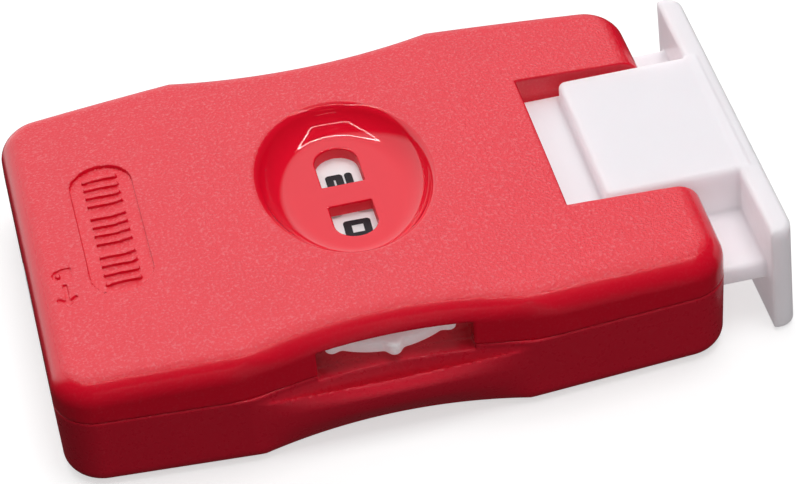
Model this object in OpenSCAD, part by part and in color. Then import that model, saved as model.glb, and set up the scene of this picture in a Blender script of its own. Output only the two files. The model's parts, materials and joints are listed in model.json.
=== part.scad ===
// Two-digit hand tally counter: a waisted two-shell case, a thumb bar that slides in at one
// end, and two number wheels side by side that also turn by hand through the side slots.
// Millimetres. +X points to the thumb bar, +Z up, origin at the centre of the flat underside.

/* [Case] */
// Length of the case without the thumb bar
case_l = 60; // [59:0.5:62]
// Height of the case at the crown of its top
case_h = 12.7; // [12.6:0.1:13.2]
// Height of the joint between the two shells
split_z = 7.5; // [7.4:0.1:7.6]
// Half width of the case at its ends
end_half = 19.4; // [19.2:0.1:20]
// Half width of the case at the shoulders of the waist
shoulder_half = 20.7; // [20.5:0.1:21]
// Depth of the waist in each long side
waist_depth = 1.8; // [1.6:0.1:2]
// Wall thickness of the shells
wall = 1.6; // [1.4:0.1:1.8]

/* [Counting wheels] */
// Distance between the axles of the two number wheels
wheel_pitch = 19.8; // [19.6:0.1:20.2]
// Radius of a number disc between its finger nubs
disc_r = 8.85; // [8.6:0.05:8.9]
// Digits on each wheel
digit_count = 10; // [10:1:10]
// Radius of the steel axles
axle_r = 1; // [0.9:0.05:1.1]

/* [Push button] */
// Travel of the thumb bar
travel = 3.5; // [3:0.1:3.5]
// Half length of the thumb bar
bar_half = 17.3; // [16.5:0.1:17.5]
// Half width of the raised block in the top notch
block_half = 8.55; // [8:0.05:8.8]

/* [Hidden] */

$fn = 64;
eps = 0.01;
run_gap = 0.05;           // radial clearance of a running fit
seat_gap = 0.02;          // radial clearance of a pin seated in a boss
fine = 180;               // segments of the large waist arcs

// Case outline
end_x = case_l / 2;
corner_r = 3.6;
waist_x = -0.8;
waist_span = 12.3;        // half length of each waist arc
waist_r = (waist_span * waist_span + waist_depth * waist_depth) / (2 * waist_depth);
waist_axis_y = shoulder_half - waist_depth + waist_r;
waist_left = waist_x - waist_span;
waist_right = waist_x + waist_span;
waist_top_r = 2.6;        // rounding of the waist's top edge
waist_edge_drop = 3.1;    // from the crown down to where that rounding starts
top_round = 3.2;
bottom_round = 1.5;
crown_r = 420;            // radius of the gently domed top
floor_t = 1.4;
roof_t = 1.5;

// Mechanism centre, between the two wheels
mid_x = -0.3;
mid_y = 0.3;
units_y = mid_y - wheel_pitch / 2;
tens_y = mid_y + wheel_pitch / 2;

// Levels of the wheel stack
disc_z = 7.75;
disc_t = 1.2;
carry_z = 6.1;
carry_t = 1.4;
ratchet_z = 4.3;
ratchet_t = 1.5;
ratchet_tip = 6;
ratchet_root = 4.9;
hub_z = 3;
hub_r = 2.4;
boss_top = 2.9;
boss_r = 3;
axle_foot = 0.6;

// Ribs that carry the sliding plate
rib_gap = 0.15;
rail_rib_t = 3;
plate_rib_t = 1.2;
plate_rib_y = 6;
end_rib_y = 15;

// Number discs
step_angle = 360 / digit_count;
nub_r = 0.65;
nub_centre_r = 8.85;
numeral_r = 6.55;
numeral_w = 2.4;
numeral_h = 2.45;
numeral_t = 0.1;
stroke = 0.66;
segments = ["abcdef", "bc", "abged", "abgcd", "fgbc", "afgcd", "afgedc", "abc", "abcdefg", "abcdfg"];

// Dish and windows in the roof
dish_y = 0.5;
dish_rx = 7.9;
dish_ry = 10.6;
dish_slope_w = 2;
dish_floor_z = 10.4;
dish_floor_t = 1.25;
window_half = 2;
window_inner = 1.45;      // from the dish centre to the straight edge of a window
window_outer = 6.4;       // from the dish centre to the top of its round end

// Notch for the button block
notch_x = 17.8;
notch_half = 9.25;
skirt_t = 1.2;            // thickness of the walls that hang down around the notch

// Side slots for the finger nubs
slot_x = -0.35;
slot_half = 6.95;
slot_top = 10.3;
ledge_z = 6.9;
rim_t = 0.4;              // height of the upright rim in front of the ledge
groove_r = 0.6;
groove_inset = 0.75;      // from the waist's face to the middle of the groove in the ledge
shelf_y = 15.5;           // inner edge of the ledge at the ends of each slot
shelf_z = 5.9;            // underside of the ledge there

// Push button carriage
bar_x = 33.85;
bar_t = 2.15;
bar_z = 0.3;
bar_top = 11.75;
bar_lean = 0.4;           // how far the foot of the bar stands out from its top
bar_round = 1.4;          // rounding of the bar's outer corners seen from above
plate_half = 16.1;
inner_plate_half = 12.5;
plate_z = 4.55;
plate_t = 2.05;
outer_plate_z = 4.95;     // the outer end of the plate lies a little higher
shoulder_x = 26.5;
plate_x = 10.8;
block_x = 21.6;
block_top = 11.7;
step_x = 13.2;
step_half = 9.1;
step_top = 9.7;
rail_half = 2.5;
rail_top = 5.8;
rail_x = -13;
arm_y = -12;
arm_w = 1.8;
pinion_axle_r = 0.8;
spigot_r = 0.9;
spigot_l = 2;

// Drive pawl
pawl_y = -3.4;
pawl_t = 0.6;
pawl_tip = [2.75, -4.6];
pawl_bend_x = 5;
pawl_root = 1.2;          // length of the pawl held in the plate

// Return spring
spring_x = -25.3;
spring_z = 5.6;
spring_r = 1.9;
spring_bore = 1.3;
bracket_t = 1.2;
bracket_half = 2.2;
guide_pin_end = -19;

// Plate opening in the end wall
mouth_half = 16.4;
mouth_z = 4.3;

// Lock slider in the other end wall
lock_rest_y = -0.2;
lock_travel = 6.3;
lock_half = 2.5;
lock_gap = 0.3;
lock_z0 = 6.25;
lock_z1 = 8.55;

// Transfer gears
gear_teeth = 20;
pinion_teeth = 10;
gear_r = [5.8, 6.6, 7];        // root, pitch and tip radius
gear_flank = [5.2, 3.9, 2.2];  // half angle of a tooth at those radii
pinion_r = [2.5, 3.3, 3.6];
pinion_flank = [10, 7.4, 4.6];
gear_pocket_gap = 0.3;         // clearance of the carry parts in their pockets in the ledges
cam_finger_r = 6.8;
cam_finger_angle = 105;

// Click springs
click_root = [-12.7, 15.2];
click_t = 0.35;
click_post_r = 1.1;
click_arm = 4.5;               // from the post to the bend of the leaf
units_nose = [-2.87, 4.28];    // from the units axle, mirrored
tens_nose_gap = 0.28;          // from the root of the valley to the middle of the leaf

// Label recess
label_x = -21.75;
label_y = 0.2;
label_half_w = 2.85;
label_half_l = 8.9;
label_depth = 0.3;
label_crown_drop = 0.62;       // how far the domed top has fallen at the label
tally_h = 3;
tally_w = 0.5;
tally_pitch = 1.05;
tally_group_pitch = 5.2;

// Case screws
screw_places = [[20, -16], [20, 16], [-24, -14.5], [-24, 14.5]];
screw_r = 0.9;
screw_head_r = 1.6;
screw_head_t = 1.1;
screw_boss_r = 1.9;
screw_top = 9.8;

red = [0.80, 0.06, 0.10];
white = [0.94, 0.93, 0.95];
black = [0.10, 0.10, 0.12];
steel = [0.68, 0.69, 0.71];

// ---------- outlines ----------

function unit(v) = v / norm(v);
function polar(r, a) = [r * cos(a), r * sin(a)];

// Points of a convex counter-clockwise polygon whose corners have the given radii
function rounded(points, radii, steps = 8) = [
    for (i = [0 : len(points) - 1])
        let (p = points[i],
             a = unit(points[(i + len(points) - 1) % len(points)] - p),
             b = unit(points[(i + 1) % len(points)] - p),
             half = acos(a * b) / 2,
             centre = p + unit(a + b) * radii[i] / sin(half),
             start = atan2(-(a + b)[1], -(a + b)[0]) - (90 - half))
            for (k = [0 : radii[i] > 0 ? steps : 0])
                radii[i] > 0 ? centre + polar(radii[i], start + k * (180 - 2 * half) / steps) : p
];

// Corners of the case seen from above, counter-clockwise, shrunk by inset on every side
function case_corners(inset = 0) =
    let (half_l = end_x - inset,
         half_e = end_half - inset,
         half_s = shoulder_half - inset)
    [[-half_l, -half_e], [waist_left, -half_s], [waist_right, -half_s], [half_l, -half_e],
     [half_l, half_e], [waist_right, half_s], [waist_left, half_s], [-half_l, half_e]];

// The case seen from above with straight sides
module straight_outline(inset = 0) {
    r = corner_r - inset;
    polygon(rounded(case_corners(inset), [r, 0, 0, r, r, 0, 0, r]));
}

// The case seen from above with its waist
module case_outline(inset = 0) {
    difference() {
        straight_outline(inset);
        at_waists()
            circle(waist_r + inset, $fn = fine);
    }
}

// Puts its children on the axis of each waist arc
module at_waists() {
    for (side = [-1, 1])
        translate([waist_x, side * waist_axis_y])
            children();
}

module ellipse(rx, ry) {
    polygon([for (a = [0 : 7.5 : 359]) [rx * cos(a), ry * sin(a)]]);
}

// ---------- case ----------

// Half space on the left of the line from p to q, with rounded edges
module rounded_side(p, q) {
    angle = atan2(q[1] - p[1], q[0] - p[0]);
    translate([p[0], p[1], 0])
        rotate([0, 0, angle])
            rotate([90, 0, 90])
                linear_extrude(4 * case_l, center = true)
                    difference() {
                        translate([0, -eps])
                            square([3 * shoulder_half, case_h + 2 * eps]);
                        corner_cut(bottom_round, 0, 1);
                        corner_cut(top_round, case_h, -1);
                    }
}

// What a rounded edge takes away from a square corner at height z
module corner_cut(r, z, up) {
    difference() {
        translate([-1, up > 0 ? z - 1 : z - r])
            square([r + 1, r + 1]);
        translate([r, z + up * r])
            circle(r);
    }
}

module crown(drop = 0) {
    translate([0, 0, case_h - crown_r])
        sphere(crown_r - drop, $fn = 256);
}

// The straight-sided case with the long edges of its ends and flared sides rounded
module straight_block() {
    c = case_corners();
    intersection() {
        linear_extrude(case_h)
            straight_outline();
        rounded_side([-end_x, end_half], [-end_x, -end_half]);
        rounded_side([end_x, -end_half], [end_x, end_half]);
        rounded_side(c[0], c[1]);
        rounded_side(c[2], c[3]);
        rounded_side(c[4], c[5]);
        rounded_side(c[6], c[7]);
    }
}

// Outside of the upper shell: domed, and waisted over its whole height
module upper_outer() {
    intersection() {
        straight_block();
        linear_extrude(case_h)
            case_outline();
        crown();
    }
}

// Rounds the top edge of the waist on both sides
module waist_top_round() {
    z = case_h - waist_edge_drop;
    at_waists()
        rotate_extrude($fn = fine)
            difference() {
                translate([waist_r - 1, z])
                    square([waist_top_r + 1, waist_top_r + 1]);
                translate([waist_r + waist_top_r, z])
                    circle(waist_top_r);
            }
}

module at_screws() {
    for (place = screw_places)
        translate([place[0], place[1], 0])
            children();
}

// Slot that both shells share for the nubs of each wheel
module side_slots(z0, z1) {
    for (side = [-1, 1])
        translate([slot_x - slot_half, side > 0 ? shoulder_half - 4 : -shoulder_half - 1, z0])
            cube([2 * slot_half, 5, z1 - z0]);
}

module lock_slot() {
    y0 = lock_rest_y - lock_travel - lock_half - lock_gap;
    translate([-end_x - 1, y0, lock_z0 - lock_gap])
        cube([wall + 2, lock_travel + 2 * lock_half + 2 * lock_gap, lock_z1 - lock_z0 + 2 * lock_gap]);
}

module lower_case() {
    color(red)
    difference() {
        union() {
            difference() {
                intersection() {
                    lower_outer();
                    translate([-end_x, -2 * end_half, 0])
                        cube([case_l, 4 * end_half, split_z]);
                }
                translate([0, 0, floor_t])
                    linear_extrude(split_z)
                        case_outline(wall);
            }
            lower_fittings();
        }
        finger_scoops();
        side_slots(ledge_z, split_z + 1);
        translate([end_x - wall - 1, -mouth_half, mouth_z])
            cube([wall + 2, 2 * mouth_half, split_z]);
        lock_slot();
        for (y = [units_y, tens_y])
            translate([mid_x, y, carry_z - gear_pocket_gap])
                cylinder(case_h, gear_r[2] + gear_pocket_gap, gear_r[2] + gear_pocket_gap);
        at_screws() {
            translate([0, 0, -1])
                cylinder(split_z + 2, screw_r + seat_gap, screw_r + seat_gap);
            translate([0, 0, -1])
                cylinder(1 + screw_head_t + 0.2, screw_head_r + 0.15, screw_head_r + 0.15);
        }
        for (y = [units_y, tens_y])
            translate([mid_x, y, axle_foot])
                cylinder(case_h, axle_r + seat_gap, axle_r + seat_gap);
        translate([mid_x, mid_y, axle_foot])
            cylinder(case_h, pinion_axle_r + seat_gap, pinion_axle_r + seat_gap);
        translate([spring_x - bracket_t - 1, mid_y, spring_z])
            rotate([0, 90, 0])
                cylinder(bracket_t + 2, spigot_r + seat_gap, spigot_r + seat_gap);
    }
}

// Outside of the lower shell: its rim runs straight past the waist, its foot follows it
module lower_outer() {
    rim_r = waist_r - waist_depth;
    inside_r = waist_r - 8;
    difference() {
        straight_block();
        at_waists()
            rotate_extrude($fn = fine)
                polygon([[inside_r, -1], [waist_r + 0.9, -1], [waist_r - 0.2, 1],
                         [rim_r, ledge_z - rim_t], [rim_r - 0.2, ledge_z], [inside_r, ledge_z]]);
    }
}

// Ledge in front of each wheel, hollowed so that a fingertip reaches the nubs
module finger_scoops() {
    at_waists()
        rotate_extrude($fn = fine) {
            translate([waist_r - 8, ledge_z])
                square([8, split_z]);
            translate([waist_r - groove_inset, ledge_z])
                circle(groove_r);
        }
}

// Bosses, ribs, ledges and brackets inside the lower shell
module lower_fittings() {
    at_screws()
        cylinder(split_z, screw_boss_r, screw_boss_r);
    for (y = [units_y, tens_y])
        translate([mid_x, y, 0])
            cylinder(boss_top, boss_r, boss_r);
    rib(rail_x + 1, 8, mid_y, rail_rib_t);
    for (side = [-1, 1]) {
        rib(plate_x + 1, end_x - wall, side * plate_rib_y, plate_rib_t);
        rib(end_x - wall - plate_rib_t, end_x - wall, side * end_rib_y, plate_rib_t);
        slot_shelf(side);
        click_post(side);
    }
    translate([spring_x - bracket_t, mid_y - bracket_half, 0])
        cube([bracket_t, 2 * bracket_half, split_z - 0.3]);
}

// Upright rib along X that carries the sliding plate
module rib(x0, x1, y, t) {
    translate([x0, y - t / 2, 0])
        cube([x1 - x0, t, plate_z - rib_gap]);
}

// Shelf that carries the ledge inwards, under the disc, at the ends of a slot
module slot_shelf(side) {
    y0 = side > 0 ? shelf_y : -end_half + 1;
    translate([slot_x - slot_half - 1, y0, shelf_z])
        cube([2 * slot_half + 2, end_half - 1 - shelf_y, ledge_z - shelf_z]);
}

module upper_case() {
    color(red)
    difference() {
        union() {
            difference() {
                intersection() {
                    upper_outer();
                    translate([-end_x, -2 * end_half, split_z])
                        cube([case_l, 4 * end_half, case_h]);
                }
                waist_top_round();
                upper_cavity();
            }
            intersection() {
                translate([mid_x, dish_y, dish_floor_z - dish_floor_t])
                    linear_extrude(case_h - dish_floor_z + dish_floor_t - 1)
                        ellipse(dish_rx + 0.4, dish_ry + 0.4);
                crown(0.4);
                linear_extrude(case_h)
                    case_outline(wall / 2);
            }
            upper_bosses();
        }
        dish();
        windows();
        label_recess();
        translate([notch_x, -notch_half, split_z - 1])
            cube([case_l, 2 * notch_half, case_h]);
        side_slots(split_z - 1, slot_top);
        lock_slot();
        at_screws()
            cylinder(screw_top + 0.1, screw_r + seat_gap, screw_r + seat_gap);
    }
}

module upper_cavity() {
    difference() {
        intersection() {
            translate([0, 0, split_z - 1])
                linear_extrude(case_h)
                    case_outline(wall);
            crown(roof_t);
        }
        notch_skirt();
    }
}

// Walls around the notch: down to the split on its sides, and clear of the step at its end
module notch_skirt() {
    for (side = [-1, 1])
        translate([notch_x - skirt_t, side > 0 ? notch_half : -notch_half - skirt_t, split_z - 1])
            cube([end_x, skirt_t, case_h]);
    translate([notch_x - skirt_t, -notch_half, step_top + 0.3])
        cube([skirt_t, 2 * notch_half, case_h]);
}

// Screw bosses under the roof
module upper_bosses() {
    at_screws()
        translate([0, 0, split_z])
            cylinder(screw_top + 0.6 - split_z, screw_boss_r, screw_boss_r);
}

// Oval dish sunk into the roof around the windows
module dish() {
    translate([mid_x, dish_y, 0])
        hull() {
            translate([0, 0, dish_floor_z])
                linear_extrude(eps)
                    ellipse(dish_rx - dish_slope_w, dish_ry - dish_slope_w);
            translate([0, 0, case_h])
                linear_extrude(eps)
                    ellipse(dish_rx, dish_ry);
        }
}

module windows() {
    for (side = [-1, 1])
        translate([mid_x, dish_y, dish_floor_z - 2 * dish_floor_t])
            linear_extrude(case_h)
                union() {
                    translate([-window_half, side > 0 ? window_inner : window_half - window_outer])
                        square([2 * window_half, window_outer - window_inner - window_half]);
                    translate([0, side * (window_outer - window_half)])
                        circle(window_half);
                }
}

// Shallow stadium-shaped recess with a raised row of tally strokes
module label_recess() {
    floor_z = case_h - label_crown_drop - label_depth;
    translate([label_x, label_y, floor_z])
        difference() {
            linear_extrude(case_h)
                union() {
                    for (side = [-1, 1])
                        translate([0, side * (label_half_l - label_half_w)])
                            circle(label_half_w);
                    square([2 * label_half_w, 2 * (label_half_l - label_half_w)], center = true);
                }
            for (group = [-1 : 1], k = [0 : 3])
                translate([0, group * tally_group_pitch + (k - 1.5) * tally_pitch, 0])
                    linear_extrude(label_depth / 2)
                        square([tally_h, tally_w], center = true);
        }
}

module case_screws() {
    color(steel)
    at_screws()
        difference() {
            union() {
                translate([0, 0, 0.15])
                    cylinder(screw_head_t, screw_head_r, screw_head_r);
                translate([0, 0, screw_head_t])
                    cylinder(screw_top - screw_head_t, screw_r, screw_r);
            }
            for (turn = [0, 90])
                rotate([0, 0, turn])
                    translate([-1, -0.2, -1])
                        cube([2, 0.4, 1.7]);
        }
}

// ---------- push button ----------

module push_button() {
    color(white)
    difference() {
        union() {
            thumb_bar();
            slab(shoulder_x, bar_x + 0.5, plate_half, outer_plate_z, outer_plate_z + plate_t);
            slab(plate_x, shoulder_x, inner_plate_half, plate_z, plate_z + plate_t);
            slab(block_x, bar_x + 0.5, block_half, plate_z, block_top);
            slab(step_x, block_x, step_half, plate_z, step_top);
            translate([rail_x, mid_y - rail_half, plate_z])
                cube([plate_x - rail_x + 1, 2 * rail_half, rail_top - plate_z]);
            translate([rail_x + 0.5, arm_y, plate_z])
                cube([arm_w, mid_y - arm_y, rail_top - plate_z]);
            translate([rail_x - spigot_l, mid_y, spring_z])
                rotate([0, 90, 0])
                    cylinder(spigot_l + 1, spigot_r, spigot_r);
            translate([rail_x, mid_y - rail_half, plate_z])
                cube([1.5, 2 * rail_half, 2]);
        }
        pinion_slot();
        translate([plate_x - 1, pawl_y - pawl_t / 2 - seat_gap, plate_z - 1])
            cube([1 + pawl_root + seat_gap, pawl_t + 2 * seat_gap, 4]);
    }
}

// Upright bar that leans out towards its foot
module thumb_bar() {
    outer = bar_x + bar_t + bar_lean;
    side = [[bar_x + bar_lean, bar_z], [outer, bar_z], [bar_x + bar_t, bar_top], [bar_x, bar_top]];
    above = [[bar_x, -bar_half], [outer, -bar_half], [outer, bar_half], [bar_x, bar_half]];
    intersection() {
        translate([0, bar_half, 0])
            rotate([90, 0, 0])
                linear_extrude(2 * bar_half)
                    polygon(side);
        linear_extrude(case_h)
            polygon(rounded(above, [0, bar_round, bar_round, 0]));
    }
}

module slab(x0, x1, half, z0, z1) {
    translate([x0, -half, z0])
        cube([x1 - x0, 2 * half, z1 - z0]);
}

// Slot in the rail that clears the pinion axle over the whole travel
module pinion_slot() {
    r = pinion_axle_r + 0.25;
    translate([mid_x, mid_y, 0]) {
        for (x = [0, travel])
            translate([x, 0, plate_z - 1])
                cylinder(4, r, r);
        translate([0, -r, plate_z - 1])
            cube([travel, 2 * r, 4]);
    }
}

// Springy finger that pushes the units ratchet one tooth per stroke
module drive_pawl() {
    color(white)
    translate([0, 0, plate_z + 0.1])
        linear_extrude(rail_top - plate_z - 0.2)
            union() {
                translate([pawl_bend_x, pawl_y - pawl_t / 2])
                    square([plate_x + pawl_root - pawl_bend_x, pawl_t]);
                polygon([[pawl_bend_x, pawl_y + pawl_t / 2], pawl_tip + [0, pawl_t], pawl_tip,
                         pawl_tip + [0.7, -0.05], [pawl_bend_x, pawl_y - pawl_t / 2]]);
            }
}

module return_spring() {
    color(steel)
    translate([spring_x + 0.05, mid_y, spring_z])
        rotate([0, 90, 0])
            difference() {
                cylinder(rail_x - spring_x - 0.1, spring_r, spring_r);
                translate([0, 0, -1])
                    cylinder(rail_x - spring_x + 2, spring_bore, spring_bore);
            }
}

module spring_guide_pin() {
    color(steel)
    translate([spring_x - bracket_t, mid_y, spring_z])
        rotate([0, 90, 0])
            cylinder(guide_pin_end - spring_x + bracket_t, spigot_r, spigot_r);
}

// ---------- counting wheels ----------

module number_disc() {
    translate([0, 0, disc_z])
        difference() {
            union() {
                cylinder(disc_t, disc_r, disc_r);
                for (k = [0 : digit_count - 1])
                    rotate([0, 0, k * step_angle])
                        translate([nub_centre_r, 0, 0])
                            cylinder(disc_t, nub_r, nub_r, $fn = 32);
            }
            translate([0, 0, -1])
                cylinder(disc_t + 2, axle_r + run_gap, axle_r + run_gap);
        }
}

// Hub with ten teeth, saw-shaped to be pushed one way or even to be held by the click spring
module ratchet(saw) {
    outline = [for (k = [0 : digit_count - 1], j = [0, 1])
        polar(j == 0 ? ratchet_root : ratchet_tip, k * step_angle + (saw ? 0 : j * step_angle / 2))];
    difference() {
        union() {
            translate([0, 0, hub_z])
                cylinder(disc_z - hub_z, hub_r, hub_r);
            translate([0, 0, ratchet_z])
                linear_extrude(ratchet_t)
                    polygon(outline);
        }
        translate([0, 0, hub_z - 1])
            cylinder(disc_z, axle_r + run_gap, axle_r + run_gap);
    }
}

// Ring pressed over a hub at the carry level
module carry_ring(r) {
    difference() {
        translate([0, 0, carry_z])
            cylinder(carry_t, r, r);
        translate([0, 0, carry_z - 1])
            cylinder(carry_t + 2, hub_r, hub_r);
    }
}

// Straight-flanked gear outline with a tooth centred on angle 0
module gear_outline(teeth, r, flank) {
    polygon([for (k = [0 : teeth - 1], j = [0 : 5])
        let (level = j < 3 ? j : 5 - j, side = j < 3 ? -1 : 1)
            polar(r[level], k * 360 / teeth + side * flank[level])]);
}

// One digit from seven bars, its top towards +Y and its right side towards +X before turning
module numeral(d) {
    w = numeral_w - stroke;
    h = numeral_h - stroke;
    bars = [["a", 0, h / 2, w, 0], ["g", 0, 0, w, 0], ["d", 0, -h / 2, w, 0],
            ["b", w / 2, h / 4, 0, h / 2], ["c", w / 2, -h / 4, 0, h / 2],
            ["f", -w / 2, h / 4, 0, h / 2], ["e", -w / 2, -h / 4, 0, h / 2]];
    for (bar = bars)
        if (len(search(bar[0], segments[d])) > 0)
            translate([bar[1], bar[2]])
                square([bar[3] + stroke, bar[4] + stroke], center = true);
}

// Ring of digits: 'shown' stands at 'angle', and the next digit follows clockwise
module numeral_ring(shown, angle, facing) {
    translate([0, 0, disc_z + disc_t])
        linear_extrude(numeral_t)
            for (d = [0 : digit_count - 1])
                rotate(angle - (d - shown) * step_angle)
                    translate([numeral_r, 0])
                        rotate(facing)
                            numeral(d);
}

module at_units() {
    translate([mid_x, units_y, 0])
        children();
}

module at_tens() {
    translate([mid_x, tens_y, 0])
        children();
}

module wheel_axle() {
    color(steel)
    translate([0, 0, axle_foot])
        cylinder(disc_z + disc_t - axle_foot - 0.1, axle_r, axle_r);
}

module units_wheel() {
    color(white)
    at_units()
        rotate([0, 0, 18])
            number_disc();
}

module units_ratchet() {
    color(white)
    at_units()
        rotate([0, 0, 59])
            ratchet(true);
}

module units_carry_cam() {
    color(white)
    at_units()
        union() {
            carry_ring(3.6);
            translate([0, 0, carry_z])
                rotate([0, 0, cam_finger_angle])
                    linear_extrude(carry_t)
                        polygon([[3, -0.8], [cam_finger_r, -0.25], [cam_finger_r, 0.25], [3, 0.8]]);
        }
}

module units_numerals() {
    color(black)
    at_units()
        numeral_ring(0, 90, 180);
}

module units_axle() {
    at_units()
        wheel_axle();
}

module tens_wheel() {
    color(white)
    at_tens()
        rotate([0, 0, 18])
            number_disc();
}

module tens_ratchet() {
    color(white)
    at_tens()
        ratchet(false);
}

module tens_carry_gear() {
    color(white)
    at_tens()
        difference() {
            translate([0, 0, carry_z])
                rotate([0, 0, 180 / gear_teeth])
                    linear_extrude(carry_t)
                        gear_outline(gear_teeth, gear_r, gear_flank);
            translate([0, 0, carry_z - 1])
                cylinder(carry_t + 2, hub_r, hub_r);
        }
}

module tens_numerals() {
    color(black)
    at_tens()
        numeral_ring(2, -90, 0);
}

module tens_axle() {
    at_tens()
        wheel_axle();
}

module transfer_pinion() {
    color(white)
    translate([mid_x, mid_y, carry_z])
        difference() {
            rotate([0, 0, 90])
                linear_extrude(carry_t)
                    gear_outline(pinion_teeth, pinion_r, pinion_flank);
            translate([0, 0, -1])
                cylinder(carry_t + 2, pinion_axle_r + run_gap, pinion_axle_r + run_gap);
        }
}

module pinion_axle() {
    color(steel)
    translate([mid_x, mid_y, axle_foot])
        cylinder(carry_z + carry_t - axle_foot, pinion_axle_r, pinion_axle_r);
}

// ---------- click springs ----------

// Split post that holds the root of a click spring; side is -1 for units and 1 for tens
module click_post(side) {
    translate([click_root[0], side * click_root[1], 0])
        difference() {
            cylinder(rail_top, click_post_r, click_post_r);
            translate([-2, -click_t / 2 - seat_gap, floor_t])
                cube([4, click_t + 2 * seat_gap, case_h]);
        }
}

// Spring leaf of even thickness whose middle line runs through the points
module click_leaf(points) {
    translate([0, 0, ratchet_z + 0.3])
        linear_extrude(ratchet_t - 0.4)
            for (i = [1 : len(points) - 1])
                let (step = points[i] - points[i - 1])
                    translate(points[i - 1])
                        rotate(atan2(step[1], step[0]))
                            union() {
                                translate([0, -click_t / 2])
                                    square([norm(step), click_t]);
                                translate([norm(step), 0])
                                    circle(click_t / 2);
                            }
}

// The nose rests against the upright flank of a saw tooth
module units_click_spring() {
    nose = [mid_x, -units_y] + units_nose;
    color(steel)
    mirror([0, 1, 0])
        click_leaf([click_root - [1, 0], click_root + [click_arm, 0], nose]);
}

// The nose sits in the valley between two even teeth
module tens_click_spring() {
    nose = [mid_x, tens_y] + polar(ratchet_root + tens_nose_gap, 4 * step_angle);
    tail = polar(1.1, 78);
    color(steel)
    click_leaf([click_root - [1, 0], click_root + [click_arm, 0], nose, nose + tail]);
}

// ---------- lock ----------

module lock_slider() {
    flange_x = -end_x + wall + lock_gap;
    tongue_y = lock_rest_y - 4;
    color(white)
    union() {
        difference() {
            translate([-end_x, lock_rest_y - lock_half, lock_z0])
                cube([wall + lock_gap + 0.5, 2 * lock_half, lock_z1 - lock_z0]);
            for (k = [-2 : 2])
                translate([-end_x - 0.3, lock_rest_y + k * 0.8 - 0.2, lock_z0 - 1])
                    cube([0.6, 0.4, 5]);
        }
        translate([flange_x, lock_rest_y - 3.6, plate_z + 0.15])
            cube([1, 7.2, 4.9]);
        translate([flange_x, tongue_y - 1.4, plate_z + 0.15])
            cube([rail_x + 0.5 - travel - lock_gap - flange_x, 2.8, 1]);
    }
}

lower_case();
upper_case();
case_screws();
push_button();
drive_pawl();
return_spring();
spring_guide_pin();
units_wheel();
units_ratchet();
units_carry_cam();
units_numerals();
units_axle();
units_click_spring();
tens_wheel();
tens_ratchet();
tens_carry_gear();
tens_numerals();
tens_axle();
tens_click_spring();
transfer_pinion();
pinion_axle();
lock_slider();
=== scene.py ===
"""Looks of a two-digit hand tally counter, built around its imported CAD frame.

Every moulded piece is described by a field: a function of x, y and z in millimetres that gives the
distance to the piece's surface, negative inside. mesh_from_field turns a field into a mesh.
"""
import itertools
import json
import math

import bpy
import numpy as np
from mathutils import Matrix, Vector


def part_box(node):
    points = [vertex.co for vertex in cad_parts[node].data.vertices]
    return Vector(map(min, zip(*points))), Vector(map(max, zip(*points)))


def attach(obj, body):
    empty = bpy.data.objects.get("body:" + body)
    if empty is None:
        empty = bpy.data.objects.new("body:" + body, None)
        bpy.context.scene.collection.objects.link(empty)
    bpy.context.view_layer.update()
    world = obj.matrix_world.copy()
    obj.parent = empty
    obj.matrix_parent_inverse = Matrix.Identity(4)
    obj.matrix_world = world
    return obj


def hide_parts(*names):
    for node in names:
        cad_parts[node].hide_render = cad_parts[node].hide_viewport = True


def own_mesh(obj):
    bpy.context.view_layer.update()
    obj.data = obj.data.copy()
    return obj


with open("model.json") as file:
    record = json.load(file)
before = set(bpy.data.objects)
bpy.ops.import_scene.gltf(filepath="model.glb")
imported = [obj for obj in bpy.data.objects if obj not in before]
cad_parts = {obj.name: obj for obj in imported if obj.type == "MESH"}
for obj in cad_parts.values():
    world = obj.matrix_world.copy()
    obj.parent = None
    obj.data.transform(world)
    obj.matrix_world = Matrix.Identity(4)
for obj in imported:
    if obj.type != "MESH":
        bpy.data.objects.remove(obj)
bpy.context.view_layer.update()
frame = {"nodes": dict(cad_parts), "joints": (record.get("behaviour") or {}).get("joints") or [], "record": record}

MM = 0.001


def box_mm(node):
    """Lowest and highest corner of a CAD node, in millimetres."""
    low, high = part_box(node)
    return np.array(low) / MM, np.array(high) / MM


def joint_place(name):
    """Where a hinge's axis stands, in millimetres."""
    place = next(j["pos_m"] for j in frame["joints"] if j["name"] == name)
    return np.array(place) / MM


# ---------- sizes, from the frame where it holds them ----------

CASE_HIGH = box_mm("lower_case")[1]
ROOF_HIGH = box_mm("upper_case")[1][2]
BUTTON_LOW, BUTTON_HIGH = box_mm("push_button")
WHEEL_LOW, WHEEL_HIGH = box_mm("units_wheel")
INK_LOW = box_mm("units_numerals")[0][2]
LOCK_LOW, LOCK_HIGH = box_mm("lock_slider")
SPRING_LOW, SPRING_HIGH = box_mm("return_spring")
UNITS = joint_place("units_spin")
TENS = joint_place("tens_spin")
MID_X = UNITS[0]
MID_Y = (UNITS[1] + TENS[1]) / 2
DIGIT_COUNT = 10

# the case: its plan, its walls and its crowned top
END_X = CASE_HIGH[0]
SHOULDER_HALF = CASE_HIGH[1]
SPLIT_Z = CASE_HIGH[2]
END_HALF = SHOULDER_HALF - 1.3
CORNER_R = 3.6
CROWN_Z = ROOF_HIGH + 0.05
CROWN_X = 0.8
CROWN_ALONG_R = 500
CROWN_ACROSS_R = 370
TOP_ROUND = 2.3
BOTTOM_ROUND = 1.5
SHELL_GAP = 0.03
SEAM_ROUND = 0.16
DRAFT = 0.02
WALL = 1.6
ROOF_T = 1.5
FLOOR_T = 1.4
LID_LOW_Z = 6.8
CAVITY_ROUND = 1
INNER_EDGE = 0.1
ROOTED = 0.5

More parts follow.
